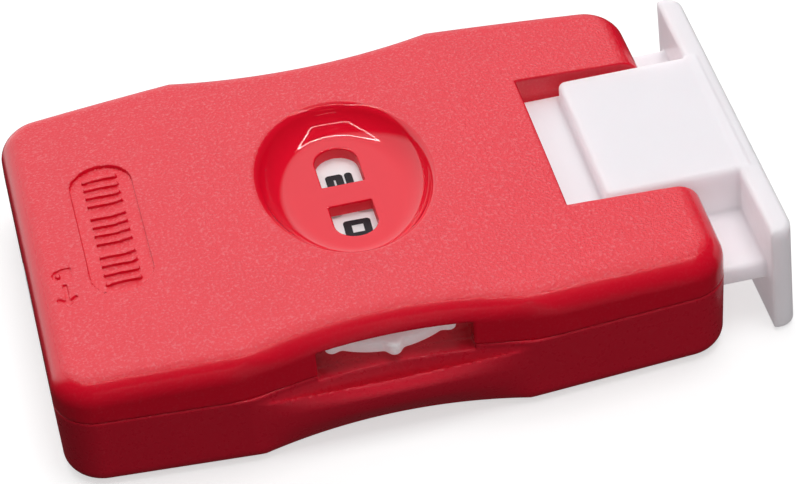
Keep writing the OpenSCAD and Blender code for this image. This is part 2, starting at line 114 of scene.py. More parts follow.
# the waist: an arc on each side
WAIST_X = -0.8
WAIST_SPAN = 12.3
WAIST_DEPTH = 1.8
WAIST_R = (WAIST_SPAN ** 2 + WAIST_DEPTH ** 2) / (2 * WAIST_DEPTH)
WAIST_AXIS_Y = SHOULDER_HALF - WAIST_DEPTH + WAIST_R
SHOULDER_SOFT = 1.0
WAIST_FOOT_ROUND = 0.3

# the dish and its two windows
DISH_Y = MID_Y + 0.2
DISH_RX = 7.9
DISH_RY = 10.6
DISH_WALL = 0.6
DISH_FLOOR_Z = 10.4
DISH_FLOOR_T = 1.25
DISH_UNDER_ROUND = 0.5
DISH_COVE = 3.0
DISH_LIP = 0.6
WINDOW_Y = MID_Y + 0.35
WINDOW_HALF = 2
WINDOW_OUTER = 6.3
WINDOW_EDGE = 0.12
BRIDGE_Y = MID_Y + 0.05
BRIDGE_HALF = 1.42

# the notch that the button's block fills
NOTCH_X = 17.8
NOTCH_HALF = 9.25
NOTCH_EDGE = 0.25
SKIRT_T = 1.2
STEP_CLEAR = 0.3

# the side slots, the scoop in front of each and the shelf inside it
SLOT_X = -0.35
SLOT_HALF = 6.95
SLOT_TOP = 10.0
SLOT_DEPTH = 4
SLOT_EDGE = 0.2
LEDGE_Z = 6.9
LEDGE_EDGE = 0.15
RIM_DROP = 1.1
RIM_DRAW = 0.53
RIM_CURVE = 1.3
RIM_EDGE = 0.14
TROUGH_SHARE = 0.49
TROUGH_DEEP = 0.64
TROUGH_SLOPE = 0.4
FOOT_Z = 1.0
BULGE_Z = 4.7
SHELF_END = 1
SHELF_Y = 15.5
SHELF_Z = 5.9
POCKET_R = 7.3

# the mouth in the right end, where the plates of the carriage run
MOUTH_DEPTH = 4
MOUTH_HALF = 16.4
MOUTH_Z = 4.3

# the label recess, its tally strokes and the mark of the lock
LABEL = (-21.75, 0.2)
LABEL_HALF_W = 2.85
LABEL_HALF_L = 8.9
LABEL_DEPTH = 0.36
LABEL_EDGE = 0.08
STROKE_HALF_L = 1.4
STROKE_HALF_W = 0.22
STROKE_PITCH = 1.2
STROKES = 4
GROUP_PITCH = 5.4
STROKE_SUNK = 0.05
LOCK_MARK = (-26.9, -4.6)
PADLOCK_OFF = 0.3
PADLOCK_HALF_H = 0.55
PADLOCK_HALF_W = 0.75
SHACKLE_R = 0.48
SHACKLE_HALF_T = 0.15
SHACKLE_FOOT = -0.2
ARROW_TAIL = -1.5
ARROW_TIP = -4
BARB_OUT = 0.75
BARB_BACK = 0.8
MARK_DEPTH = 0.2
MARK_LINE_HALF = 0.17
MARK_EDGE = 0.05

# the lock and its slot in the left end
LOCK_REST_Y = -0.2
LOCK_TRAVEL = 6.3
LOCK_HALF = 2.8
LOCK_Z = 7.4
LOCK_SLOT_HALF_H = 1.45
LOCK_SLOT_ROUND = 0.3
LOCK_SLOT_DEPTH = 4
THUMB_Y = (-2.7, 2.3)
THUMB_Z = (6.25, 8.55)
THUMB_T = 2.5
THUMB_ROUND = 0.25
GROOVE_PITCH = 0.8
GROOVE_R = 0.24
GROOVES_HALF = 2.1
GROOVE_EDGE = 0.08
FLANGE_X = 1.9
FLANGE_T = 1
FLANGE_ROUND = 0.15
TONGUE_Y = (-5.6, -2.8)

# the screws and the bosses that hold them
SCREW_PLACES = ((20, 16), (-24, 14.5))
SCREW_R = 0.9
SCREW_CORE_R = 0.66
SCREW_HEAD_R = 1.6
SCREW_HEAD_ROUND = 0.3
SCREW_HEAD_GAP = 0.2
SCREW_LOW_Z = 0.15
SCREW_HEAD_TOP = 1.25
SCREW_TIP = 9.7
POINT_LENGTH = 0.9
POINT_SLOPE = 0.6
SHANK_LOW_Z = 1
SHANK_EASE = 0.8
SHANK_FILLET = 0.1
THREAD_PITCH = 0.8
THREAD_HEIGHT = 0.22
CROSS_HALF = 1
CROSS_HALF_T = 0.22
CROSS_ROUND = 0.1
CROSS_TAPER = 0.5
CROSS_FULL_Z = 0.8
CROSS_TOP = 0.85
CROSS_EDGE = 0.05
COUNTERBORE_Z = 1.3
COUNTERBORE_EDGE = 0.15
HOLE_EDGE = 0.05
BOSS_R = 1.9
BOSS_FOOT_Z = 0.5
BOSS_FILLET = 0.3
BOSS_GAP = 0.02
HOLE_TOP = 9.9

# the button: thumb bar, raised block, step and plates
BAR_X = 33.85
BAR_T = 2.15
BAR_LEAN = 0.4
BAR_HALF = 17.8
BAR_FOOT_Z = 0.1
BAR_ROUND = 1.5
BAR_INNER_ROUND = 0.25
BAR_EDGE = 0.5
BAR_FILLET = 0.4
BLOCK_MID_X = 29.6
BLOCK_HALF_L = 8
BLOCK_HALF = 8.55
BLOCK_CORNER = 0.7
BLOCK_EDGE = 0.5
BLOCK_FILLET = 0.35
BLOCK_IN_BAR = 0.9
STEP_X = (13.2, 22.5)
STEP_HALF = 9.1
STEP_TOP = 9.7
STEP_EDGE = 0.3
STEP_TRIM = 0.5
PLATE_Z = 4.55
PLATE_T = 2.05
PLATE_X = (10.8, 28)
PLATE_HALF = 12.5
PLATE_EDGE = 0.3
OUTER_PLATE_Z = 4.95
OUTER_PLATE_X = (26.5, BAR_X + 0.5)
OUTER_PLATE_HALF = 16.1
OUTER_PLATE_EDGE = 0.45
INNER_FILLET = 0.2
RAIL_X = (BUTTON_LOW[0] + 2, 12)
RAIL_Y = (-2.2, 2.8)
RAIL_TOP = 5.8
RAIL_EDGE = 0.2

# the number discs and their printed digits
DISC_R = 8.8
DISC_HOLE_R = 1.05
DISC_EDGE = 0.2
NUB_AT = 8.85
NUB_R = 0.65
NUB_FILLET = 0.45
NUB_TURN = math.radians(18)
DIGIT_AT = 6.55
DIGIT_W = 2.45
DIGIT_H = 2.5
DIGIT_LINE = 0.72
INK_T = 0.04

# the return spring
SPRING_TURNS = 11
WIRE_R = 0.24
TURN_POINTS = 24
CLOSED_SHARE = 0.12
CLOSED_LENGTH = 0.035

# how fine the meshes are: the step of the grid that each field is sampled on
CASE_STEP = 0.15
BUTTON_STEP = 0.2
DISC_STEP = 0.12
INK_STEP = 0.05
INK_MARGIN = 0.1
SCREW_STEP = 0.09
LOCK_STEP = 0.12
SHARP_ANGLE = math.radians(50)
FAR = 99.0
TINY = 0.02


# ---------- fields ----------

def both(a, b, r):
    """Where a and b overlap, with the edge between them rounded to radius r."""
    flat = np.minimum(np.maximum(a, b), -r)
    return flat + np.hypot(np.maximum(a + r, 0), np.maximum(b + r, 0))


def either(a, b, r):
    """Where a or b is, with the inner corner between them filled to radius r."""
    return -both(-a, -b, r)


def less(a, b, r):
    """a with b cut away, and the new edge rounded to radius r."""
    return both(a, -b, r)


def span(v, low, high):
    """Distance to the layer between low and high, negative inside it."""
    return np.maximum(low - v, v - high)


def box(x, y, z, low, high, r):
    """A box with all its edges rounded to radius r."""
    reach = [np.abs(v - (a + b) / 2) - (b - a) / 2 + r for v, a, b in zip((x, y, z), low, high)]
    outside = np.sqrt(sum(np.maximum(v, 0) ** 2 for v in reach))
    return outside + np.minimum(np.maximum(np.maximum(reach[0], reach[1]), reach[2]), 0) - r


def rectangle(x, y, half_x, half_y, r):
    """A rectangle about the origin, with its corners rounded to radius r."""
    a = np.abs(x) - half_x + r
    b = np.abs(y) - half_y + r
    return np.hypot(np.maximum(a, 0), np.maximum(b, 0)) + np.minimum(np.maximum(a, b), 0) - r


def ellipse(x, y, rx, ry):
    """Distance to an ellipse about the origin, exact near its edge."""
    level = np.hypot(x / rx, y / ry)
    slope = np.hypot(x / rx ** 2, y / ry ** 2)
    return level * (level - 1) / np.maximum(slope, 1e-3)


def stroke(x, y, start, end):
    """Distance to the line from start to end."""
    ax, ay = start
    bx, by = end[0] - ax, end[1] - ay
    t = np.clip(((x - ax) * bx + (y - ay) * by) / (bx * bx + by * by), 0, 1)
    return np.hypot(x - ax - t * bx, y - ay - t * by)


# ---------- field to mesh ----------

# steps of grid outside a piece's box; the odd share keeps grid points off the piece's flat faces
GRID_MARGIN = (2.37, 3)


def surface_net(field, low, high, step):
    """Points and four-sided faces of the surface where the field is zero."""
    before, after = GRID_MARGIN
    axes = [np.arange(a - before * step, b + after * step, step) for a, b in zip(low, high)]
    shape = tuple(len(a) for a in axes)
    grid = field(axes[0][:, None, None], axes[1][None, :, None], axes[2][None, None, :])
    grid = np.broadcast_to(grid, shape).astype(np.float32)
    for axis in range(3):
        np.moveaxis(grid, axis, 0)[[0, -1]] = step
    inside = grid < 0
    corners = list(itertools.product((0, 1), repeat=3))
    near = [inside[i:shape[0] - 1 + i, j:shape[1] - 1 + j, k:shape[2] - 1 + k] for i, j, k in corners]
    mixed = np.logical_or.reduce(near) & ~np.logical_and.reduce(near)
    cells = np.argwhere(mixed)
    number = np.full(mixed.shape, -1, np.int32)
    number[mixed] = np.arange(len(cells))

    total = np.zeros((len(cells), 3))
    hits = np.zeros((len(cells), 1))
    for axis, u, v in itertools.product(range(3), (0, 1), (0, 1)):
        offset = np.roll((0, u, v), axis)
        along = np.roll((1, 0, 0), axis)
        first = cells + offset
        a = grid[tuple(first.T)]
        b = grid[tuple((first + along).T)]
        cross = (a < 0) != (b < 0)
        t = np.where(cross, a / np.where(cross, a - b, 1), 0)
        total += np.where(cross[:, None], first + t[:, None] * along, 0)
        hits += cross[:, None]
    points = total / hits * step + [a[0] for a in axes]

    quads = []
    for axis in range(3):
        a, b = (axis + 1) % 3, (axis + 2) % 3
        lower = inside.take(range(shape[axis] - 1), axis)
        upper = inside.take(range(1, shape[axis]), axis)
        edges = np.argwhere(lower != upper)
        outward = lower[tuple(edges.T)]
        ring = []
        for back_a, back_b in ((1, 1), (0, 1), (0, 0), (1, 0)):
            cell = edges.copy()
            cell[:, a] -= back_a
            cell[:, b] -= back_b
            ring.append(number[tuple(cell.T)])
        ring = np.stack(ring, 1)
        quads.append(np.where(outward[:, None], ring, ring[:, ::-1]))
    return points, np.concatenate(quads)


def settle(field, points, step):
    """Moves each point onto the field's surface, along the field's slope."""
    reach = 0.02
    for _ in range(3):
        slope = np.stack([field(*(points + reach * u).T) - field(*(points - reach * u).T)
                          for u in np.eye(3)], 1) / (2 * reach)
        move = field(*points.T)[:, None] * slope / np.maximum((slope ** 2).sum(1), 0.05)[:, None]
        points = points - np.clip(move, -step / 2, step / 2)
    return points


def new_mesh(name, points, faces, sides):
    """A mesh from points in metres and faces that all have the same number of sides."""
    mesh = bpy.data.meshes.new(name)
    mesh.vertices.add(len(points))
    mesh.vertices.foreach_set("co", points.astype(np.float32).ravel())
    mesh.loops.add(faces.size)
    mesh.loops.foreach_set("vertex_index", faces.astype(np.int32).ravel())
    mesh.polygons.add(len(faces))
    mesh.polygons.foreach_set("loop_start", np.arange(0, faces.size, sides, dtype=np.int32))
    mesh.update(calc_edges=True)
    mesh.polygons.foreach_set("use_smooth", np.ones(len(faces), bool))
    return mesh


def new_object(name, mesh):
    """An object in the scene."""
    made = bpy.data.objects.new(name, mesh)
    bpy.context.scene.collection.objects.link(made)
    return made


def applied(piece):
    """The piece with its modifiers made part of its mesh."""
    ready = piece.evaluated_get(bpy.context.evaluated_depsgraph_get())
    mesh = bpy.data.meshes.new_from_object(ready)
    piece.modifiers.clear()
    piece.data = mesh
    mesh.name = piece.name
    return piece


def mesh_from_field(name, field, low, high, step, keep=0.3):
    """A piece whose surface is the field's zero level, thinned to a share of its triangles."""
    points, quads = surface_net(field, low, high, step)
    points = settle(field, points, step)
    piece = new_object(name, new_mesh(name, points * MM, quads, 4))
    thin = piece.modifiers.new("thin", "DECIMATE")
    thin.ratio = keep
    piece.data.set_sharp_from_angle(angle=SHARP_ANGLE)
    even = piece.modifiers.new("even", "WEIGHTED_NORMAL")
    even.keep_sharp = True
    return applied(piece)


# ---------- case ----------

def plan(x, y):
    """The case from above, without its waist: widest at the shoulders, narrower at both ends."""
    side = np.abs(y)
    sides = side - SHOULDER_HALF
    for end in (-1, 1):
        shoulder = end * WAIST_X + WAIST_SPAN
        slope = (SHOULDER_HALF - END_HALF) / (END_X - shoulder)
        flare = (side - SHOULDER_HALF + (end * x - shoulder) * slope) / math.hypot(1, slope)
        sides = np.maximum(sides, flare)
    return both(sides, np.abs(x) - END_X, CORNER_R)


def waist_axis(x, y):
    """Distance from the axis of the waist on the nearer side."""
    return np.hypot(x - WAIST_X, np.abs(y) - WAIST_AXIS_Y)


def crown(x, y, z):
    """Height above the case's gently crowned top."""
    along = (x - CROWN_X) ** 2 / (2 * CROWN_ALONG_R)
    across = y ** 2 / (2 * CROWN_ACROSS_R)
    return z - CROWN_Z + along + across


def dish(x, y, z):
    """What the dish takes out of the roof: an oval pocket with a coved floor."""
    rim = ellipse(x - MID_X, y - DISH_Y, DISH_RX, DISH_RY)
    return both(rim, DISH_FLOOR_Z - z, DISH_COVE)


def windows(x, y):
    """Two windows in the dish floor, straight towards its middle and round outwards."""
    out = np.abs(y - WINDOW_Y) - WINDOW_OUTER + WINDOW_HALF
    round_end = np.hypot(x - MID_X, np.maximum(out, 0)) - WINDOW_HALF
    return both(round_end, BRIDGE_HALF - np.abs(y - BRIDGE_Y), WINDOW_EDGE)


def side_slot(x, y):
    """The slots from above, one in each side."""
    return np.maximum(np.abs(x - SLOT_X) - SLOT_HALF, SHOULDER_HALF - SLOT_DEPTH - np.abs(y))


def lock_slot(x, y, z):
    """Slot in the left end wall, long enough for the lock's travel."""
    middle = LOCK_REST_Y - LOCK_TRAVEL / 2
    half = LOCK_HALF + LOCK_TRAVEL / 2
    opening = rectangle(y - middle, z - LOCK_Z, half, LOCK_SLOT_HALF_H, LOCK_SLOT_ROUND)
    return np.maximum(opening, x + END_X - LOCK_SLOT_DEPTH)


def label(x, y):
    """The stadium-shaped recess that holds the tally strokes."""
    along = np.maximum(np.abs(y - LABEL[1]) - LABEL_HALF_L + LABEL_HALF_W, 0)
    return np.hypot(x - LABEL[0], along) - LABEL_HALF_W


def tally_strokes(x, y):
    """Three groups of raised strokes."""
    u = x - LABEL[0]
    v = y - LABEL[1]
    nearest = FAR
    for group, k in itertools.product((-1, 0, 1), range(STROKES)):
        at = group * GROUP_PITCH + (k - (STROKES - 1) / 2) * STROKE_PITCH
        nearest = np.minimum(nearest, stroke(u, v, (-STROKE_HALF_L, at), (STROKE_HALF_L, at)))
    return nearest - STROKE_HALF_W


def lock_mark(x, y):
    """A small padlock and an arrow that points the way the lock slides."""
    u = x - LOCK_MARK[0]
    v = y - LOCK_MARK[1]
    padlock = rectangle(u - PADLOCK_OFF, v, PADLOCK_HALF_H, PADLOCK_HALF_W, SHACKLE_HALF_T)
    shackle = np.abs(np.hypot(np.minimum(u + PADLOCK_OFF, 0), v) - SHACKLE_R) - SHACKLE_HALF_T
    shackle = np.maximum(shackle, u - SHACKLE_FOOT)
    tip = (0, ARROW_TIP)
    arrow = stroke(u, v, (0, ARROW_TAIL), tip)
    for side in (-1, 1):
        arrow = np.minimum(arrow, stroke(u, v, tip, (side * BARB_OUT, ARROW_TIP + BARB_BACK)))
    return np.minimum(np.minimum(padlock, shackle), arrow - MARK_LINE_HALF)


def screw_posts(x, y, r):
    """A round post or hole of radius r at each screw."""
    nearest = FAR
    for place in SCREW_PLACES:
        nearest = np.minimum(nearest, np.hypot(x - place[0], np.abs(y) - place[1]))
    return nearest - r


def notch_skirt(x, y, z):
    """Walls that hang from the roof around the notch, higher where the step slides through."""
    block = np.maximum(NOTCH_X - SKIRT_T - x, np.abs(y) - NOTCH_HALF - SKIRT_T)
    step_way = np.maximum(np.abs(y) - NOTCH_HALF, z - STEP_TOP - STEP_CLEAR)
    return np.maximum(block, -step_way)


def top_marks(x, y, top):
    """What the label recess, with its strokes left standing, and the mark of the lock take out."""
    recess = np.maximum(label(x, y), -top - LABEL_DEPTH)
    strokes = np.maximum(tally_strokes(x, y), top + STROKE_SUNK)
    return less(recess, strokes, MARK_EDGE), np.maximum(lock_mark(x, y), -top - MARK_DEPTH)


def upper_blank(x, y, z, top):
    """The top shell before its openings are cut: walls, roof, notch skirt, dish wall and bosses."""
    walls = both(plan(x, y), WAIST_R - waist_axis(x, y), SHOULDER_SOFT)
    walls = walls + DRAFT * (z - SPLIT_Z)
    body = both(walls, top, TOP_ROUND)
    cavity = both(walls + WALL, top + ROOF_T, CAVITY_ROUND)
    body = less(body, np.maximum(cavity, -notch_skirt(x, y, z)), INNER_EDGE)
    rim = ellipse(x - MID_X, y - DISH_Y, DISH_RX + DISH_WALL, DISH_RY + DISH_WALL)
    rim = np.maximum(rim, walls + WALL / 2)
    under = both(rim, DISH_FLOOR_Z - DISH_FLOOR_T - z, DISH_UNDER_ROUND)
    body = either(body, np.maximum(under, top + ROOTED), INNER_EDGE)
    boss = np.maximum(screw_posts(x, y, BOSS_R), top + ROOTED)
    return either(body, np.maximum(boss, walls + WALL / 2), BOSS_FILLET)


def upper_case(x, y, z):
    top = crown(x, y, z)
    body = upper_blank(x, y, z, top)
    body = less(body, dish(x, y, z), DISH_LIP)
    body = less(body, windows(x, y), WINDOW_EDGE)
    recess, mark = top_marks(x, y, top)
    body = less(body, recess, LABEL_EDGE)
    body = less(body, mark, MARK_EDGE)
    notch = np.maximum(NOTCH_X - x, np.abs(y) - NOTCH_HALF)
    body = less(body, notch, NOTCH_EDGE)
    body = less(body, np.maximum(side_slot(x, y), z - SLOT_TOP), SLOT_EDGE)
    body = less(body, lock_slot(x, y, z), SLOT_EDGE)
    body = less(body, np.maximum(screw_posts(x, y, SCREW_R), z - HOLE_TOP), INNER_EDGE)
    return both(body, SPLIT_Z + SHELL_GAP / 2 - z, SEAM_ROUND)


def waist_reach(x):
    """How far the straight side stands in front of the waist at x."""
    face = np.hypot(x - WAIST_X, WAIST_AXIS_Y - SHOULDER_HALF)
    return np.maximum(WAIST_R - face, 0)


def rim_drop(x):
    """How far the rim in front of a slot lies below the ledge at x."""
    return RIM_DROP * waist_reach(x) / WAIST_DEPTH


def scoop(x, y, z):
    """What is taken from the shell in front of a slot: a trough between the waist and the rim."""
    out = WAIST_R - waist_axis(x, y)
    reach = waist_reach(x)
    along = np.clip(out / np.maximum(TROUGH_SHARE * reach, TINY), 0, 1)
    floor_z = LEDGE_Z - rim_drop(x) * along - TROUGH_DEEP * reach * 4 * along * (1 - along)
    return np.maximum(TROUGH_SLOPE * (floor_z - z), -out - TINY)


def foot(x, y, z):
    """The side below the rim: it slopes out to the straight side and recedes to the waist."""
    bulge = np.sin(math.pi / 2 * np.clip((z - FOOT_Z) / (BULGE_Z - FOOT_Z), 0, 1))
    climb = np.clip((z - BULGE_Z) / (LEDGE_Z - rim_drop(x) - BULGE_Z), 0, 1)
    bulge = bulge - RIM_DRAW * climb ** RIM_CURVE
    return WAIST_R - waist_reach(x) * bulge - waist_axis(x, y)


def slot_shelf(x, y, z):
    """Shelf that carries the ledge inwards, up to a round pocket for the wheel's hub."""
    shelf = np.maximum(np.abs(x - SLOT_X) - SLOT_HALF - SHELF_END, SHELF_Y - np.abs(y))
    pocket = POCKET_R - np.hypot(x - MID_X, np.abs(y - MID_Y) - TENS[1] + MID_Y)
    shelf = np.maximum(shelf, pocket)
    return np.maximum(shelf, span(z, SHELF_Z, LEDGE_Z))


def lower_blank(x, y, z):
    """The bottom shell before its openings are cut: walls, floor, finger scoops and bosses."""
    sides = plan(x, y)
    body = both(sides + DRAFT * (SPLIT_Z - z), foot(x, y, z), WAIST_FOOT_ROUND)
    body = both(body, -z, BOTTOM_ROUND)
    body = both(body, z - SPLIT_Z + SHELL_GAP / 2, SEAM_ROUND)
    body = less(body, scoop(x, y, z), RIM_EDGE)
    inner_walls = np.maximum(sides, WAIST_R - waist_axis(x, y)) + WALL
    body = less(body, np.maximum(inner_walls, FLOOR_T - z), INNER_EDGE)
    boss = np.maximum(screw_posts(x, y, BOSS_R), span(z, BOSS_FOOT_Z, SPLIT_Z - BOSS_GAP))
    body = either(body, boss, BOSS_FILLET)
    return either(body, np.maximum(slot_shelf(x, y, z), inner_walls - ROOTED), INNER_EDGE)


def lower_case(x, y, z):
    body = less(lower_blank(x, y, z), np.maximum(side_slot(x, y), LEDGE_Z - z), LEDGE_EDGE)
    mouth = np.maximum(np.maximum(END_X - MOUTH_DEPTH - x, np.abs(y) - MOUTH_HALF), MOUTH_Z - z)
    body = less(body, mouth, SLOT_EDGE)
    body = less(body, lock_slot(x, y, z), SLOT_EDGE)
    counterbore = np.maximum(screw_posts(x, y, SCREW_HEAD_R + SCREW_HEAD_GAP), z - COUNTERBORE_Z)
    body = less(body, counterbore, COUNTERBORE_EDGE)
    return less(body, screw_posts(x, y, SCREW_R), HOLE_EDGE)


# ---------- button ----------

def thumb_bar(x, y, z):
    """Upright bar that leans out towards its foot, with soft outer edges."""
    high = BUTTON_HIGH[2]
    lean = BAR_LEAN * (high - z) / (high - BAR_FOOT_Z)
    u = x - lean - BAR_X
    outer = both(u - BAR_T, np.abs(y) - BAR_HALF, BAR_ROUND)
    return both(both(outer, -u, BAR_INNER_ROUND), span(z, BAR_FOOT_Z, high), BAR_EDGE)


def plate(x, y, z, reach, half, foot_z, r):
    """A flat plate of the carriage between two places in x, equally wide on both sides."""
    return box(x, y, z, (reach[0], -half, foot_z), (reach[1], half, foot_z + PLATE_T), r)


def raised_block(x, y, z):
    """The block that fills the notch and runs into the bar."""
    outline = rectangle(x - BLOCK_MID_X, y, BLOCK_HALF_L, BLOCK_HALF, BLOCK_CORNER)
    block = both(outline, span(z, PLATE_Z, BUTTON_HIGH[2]), BLOCK_EDGE)
    return np.maximum(block, x - BAR_X - BLOCK_IN_BAR)


def low_step(x, y, z):
    """The lower step in front of the block, which slides under the roof."""
    start = (STEP_X[0], -STEP_HALF, PLATE_Z)
    step = box(x, y, z, start, (STEP_X[1] + STEP_TRIM, STEP_HALF, STEP_TOP), STEP_EDGE)
    return np.maximum(step, x - STEP_X[1])


def push_button(x, y, z):
    outer = plate(x, y, z, OUTER_PLATE_X, OUTER_PLATE_HALF, OUTER_PLATE_Z, OUTER_PLATE_EDGE)
    inner = plate(x, y, z, PLATE_X, PLATE_HALF, PLATE_Z, PLATE_EDGE)
    rail = box(x, y, z, (RAIL_X[0], RAIL_Y[0], PLATE_Z), (RAIL_X[1], RAIL_Y[1], RAIL_TOP), RAIL_EDGE)
    body = either(outer, inner, INNER_FILLET)
    body = either(body, low_step(x, y, z), STEP_EDGE)
    body = either(body, raised_block(x, y, z), BLOCK_FILLET)
    body = either(body, rail, STEP_EDGE)
    return either(body, thumb_bar(x, y, z), BAR_FILLET)


# ---------- wheels ----------

def wheel(centre):
    """Field of a number disc with a finger nub for each digit."""
    pitch = math.tau / DIGIT_COUNT

    def field(x, y, z):
        u = x - centre[0]
        v = y - centre[1]
        angle = np.arctan2(v, u) - NUB_TURN
        folded = (angle + pitch / 2) % pitch - pitch / 2
        radius = np.hypot(u, v)
        nub = np.hypot(radius * np.cos(folded) - NUB_AT, radius * np.sin(folded)) - NUB_R
        outline = either(radius - DISC_R, nub, NUB_FILLET)
        disc = both(outline, span(z, WHEEL_LOW[2], WHEEL_HIGH[2]), DISC_EDGE)
        return less(disc, radius - DISC_HOLE_R, INNER_EDGE)
    return field


SEGMENTS = {
    "a": ((-1, 1), (1, 1)), "b": ((1, 1), (1, 0)), "c": ((1, 0), (1, -1)), "d": ((1, -1), (-1, -1)),
    "e": ((-1, -1), (-1, 0)), "f": ((-1, 0), (-1, 1)), "g": ((-1, 0), (1, 0)),
}
DIGITS = ("abcdef", "bc", "abged", "abgcd", "fgbc", "afgcd", "afgedc", "abc", "abcdefg", "abcdfg")


def numerals(centre, shown, angle, facing):
    """Field of a ring of printed digits: 'shown' stands at angle, the next one clockwise.

    A digit's right side points away from the wheel's middle, turned further by facing degrees.
    """
    half = ((DIGIT_W - DIGIT_LINE) / 2, (DIGIT_H - DIGIT_LINE) / 2)

    def field(x, y, z):
        nearest = FAR
        for digit in range(DIGIT_COUNT):
            at = math.radians(angle) - (digit - shown) * math.tau / DIGIT_COUNT
            turn = at + math.radians(facing)
            u = x - centre[0] - DIGIT_AT * math.cos(at)
            v = y - centre[1] - DIGIT_AT * math.sin(at)
            across = u * math.cos(turn) + v * math.sin(turn)
            upward = v * math.cos(turn) - u * math.sin(turn)
            for segment in DIGITS[digit]:
                start, end = [(p[0] * half[0], p[1] * half[1]) for p in SEGMENTS[segment]]
                nearest = np.minimum(nearest, stroke(across, upward, start, end))
        return np.maximum(nearest - DIGIT_LINE / 2, span(z, INK_LOW, INK_LOW + INK_T))
    return field


# ---------- hardware ----------

def coil_path():
    """Middle line of the return spring's wire, with its end turns wound close."""
    t = np.linspace(0, 1, TURN_POINTS * SPRING_TURNS + 1)
    share = np.interp(t, (0, CLOSED_SHARE, 1 - CLOSED_SHARE, 1), (0, CLOSED_LENGTH, 1 - CLOSED_LENGTH, 1))
    low = SPRING_LOW + WIRE_R
    high = SPRING_HIGH - WIRE_R
    middle = (low + high) / 2
    r = (high[2] - low[2]) / 2
    angle = math.tau * SPRING_TURNS * t
    x = low[0] + (high[0] - low[0]) * share
    return np.stack([x, middle[1] + r * np.cos(angle), middle[2] + r * np.sin(angle)], 1)


def wire(name, path, radius, sides=8):
    """A round wire along a path, closed at both ends."""
    ahead = np.gradient(path, axis=0)
    ahead /= np.linalg.norm(ahead, axis=1, keepdims=True)
    across = np.cross(ahead, (1.0, 0, 0))
    across /= np.linalg.norm(across, axis=1, keepdims=True)
    other = np.cross(ahead, across)
    angle = math.tau * np.arange(sides) / sides
    ring = across[:, None] * np.cos(angle)[:, None] + other[:, None] * np.sin(angle)[:, None]
    points = (path[:, None] + radius * ring).reshape(-1, 3)
    i, j = np.meshgrid(np.arange(len(path) - 1), np.arange(sides), indexing="ij")
    k = (j + 1) % sides
    quads = np.stack([i * sides + j, i * sides + k, (i + 1) * sides + k, (i + 1) * sides + j], -1)
    mesh = bpy.data.meshes.new(name)
    last = (len(path) - 1) * sides
    ends = [tuple(range(sides))[::-1], tuple(range(last, last + sides))]
    mesh.from_pydata((points * MM).tolist(), [], quads.reshape(-1, 4).tolist() + ends)
    mesh.polygons.foreach_set("use_smooth", np.ones(len(mesh.polygons), bool))
    mesh.set_sharp_from_angle(angle=SHARP_ANGLE)
    return new_object(name, mesh)


def screw(x, y, z):
    """A pan head with a cross recess underneath, and a threaded shank."""
    radius = np.hypot(x, y)
    head = both(radius - SCREW_HEAD_R, span(z, SCREW_LOW_Z, SCREW_HEAD_TOP), SCREW_HEAD_ROUND)
    arms = np.minimum(rectangle(x, y, CROSS_HALF, CROSS_HALF_T, CROSS_ROUND),
                      rectangle(x, y, CROSS_HALF_T, CROSS_HALF, CROSS_ROUND))
    cross = both(arms + CROSS_TAPER * (z - CROSS_FULL_Z), z - CROSS_TOP, CROSS_EDGE)
    head = less(head, cross, CROSS_EDGE)
    turn = (z / THREAD_PITCH - np.arctan2(y, x) / math.tau) % 1
    ridge = THREAD_HEIGHT * np.maximum(1 - 4 * np.abs(turn - 0.5), 0)
    point = POINT_SLOPE * np.maximum(z - SCREW_TIP + POINT_LENGTH, 0)
    shank = np.maximum(radius - SCREW_CORE_R - ridge + point, span(z, SHANK_LOW_Z, SCREW_TIP))
    return either(head, shank * SHANK_EASE, SHANK_FILLET)


def lock_slider(x, y, z):
    """Ribbed thumb piece, on a flange behind the wall and a tongue towards the plate."""
    low, high = LOCK_LOW, LOCK_HIGH
    back_x = low[0] + FLANGE_X
    thumb = box(x, y, z, (low[0], THUMB_Y[0], THUMB_Z[0]),
                (low[0] + THUMB_T, THUMB_Y[1], THUMB_Z[1]), THUMB_ROUND)
    beside = (y - LOCK_REST_Y + GROOVE_PITCH / 2) % GROOVE_PITCH - GROOVE_PITCH / 2
    grooves = np.maximum(np.hypot(x - low[0], beside) - GROOVE_R, np.abs(y - LOCK_REST_Y) - GROOVES_HALF)
    thumb = less(thumb, grooves, GROOVE_EDGE)
    flange = box(x, y, z, (back_x, low[1], low[2]), (back_x + FLANGE_T, high[1], high[2]), FLANGE_ROUND)
    tongue = box(x, y, z, (back_x, TONGUE_Y[0], low[2]), (high[0], TONGUE_Y[1], low[2] + FLANGE_T),
                 FLANGE_ROUND)
    return either(either(thumb, flange, FLANGE_ROUND), tongue, FLANGE_ROUND)


# ---------- materials ----------

# pinkish white of the painted highlights on the grain's tips
SPARKLE_HIGHLIGHT_TINT = (0.9, 0.7, 0.72)


def add(tree, kind, inputs=(), **settings):
    """A shader node with its settings, its input values and its input links."""
    made = tree.nodes.new("ShaderNode" + kind)
    for name, value in settings.items():
        setattr(made, name, value)
    for name, value in dict(inputs).items():
        if isinstance(value, bpy.types.NodeSocket):
            tree.links.new(value, made.inputs[name])
        else:
            made.inputs[name].default_value = value
    return made


def maths(tree, operation, *values):
    """The result of a Math node."""
    return add(tree, "Math", enumerate(values), operation=operation).outputs[0]


def object_place(tree):
    """A point's own place on its object, in metres."""
    return add(tree, "TexCoord").outputs["Object"]


def new_material(name, colour, values=()):
    """A material with its node tree and its shader, whose sockets take the values."""
    made = bpy.data.materials.new(name)
    made.use_nodes = True
    tree = made.node_tree
    shader = tree.nodes["Principled BSDF"]
    shader.inputs["Base Color"].default_value = (*colour, 1)
    for key, value in dict(values).items():
        shader.inputs[key].default_value = value
    return made, tree, shader


